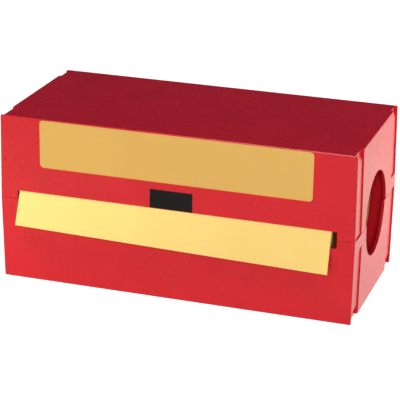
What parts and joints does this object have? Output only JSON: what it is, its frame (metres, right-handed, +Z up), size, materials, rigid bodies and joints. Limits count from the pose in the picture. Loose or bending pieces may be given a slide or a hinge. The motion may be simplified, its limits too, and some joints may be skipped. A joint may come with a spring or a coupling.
{
  "type": "boxed shim stock roll",
  "caption": "Red moulded dispenser case with round finger holes in its ends, holding a loose roll of brass shim foil whose end hangs out of a slot along the front.",
  "frame": {"origin": "centre of the base of the case, on the surface it stands on", "axes": "+X along the roll towards the end seen in the picture, -Y out of the slotted front, +Z up"},
  "size_m": [0.17, 0.0848, 0.08],
  "materials": {
    "case_plastic": "satin moulded polystyrene",
    "brass_foil": "bright rolled foil",
    "gold_label": "gold printed paper, bare",
    "black_label": "black printed paper, bare"
  },
  "bodies": {
    "root": {"lower_case": "case_plastic", "upper_case": "case_plastic", "brass_foil": "brass_foil", "front_label": "gold_label", "gauge_label": "black_label"}
  },
  "joints": []
}
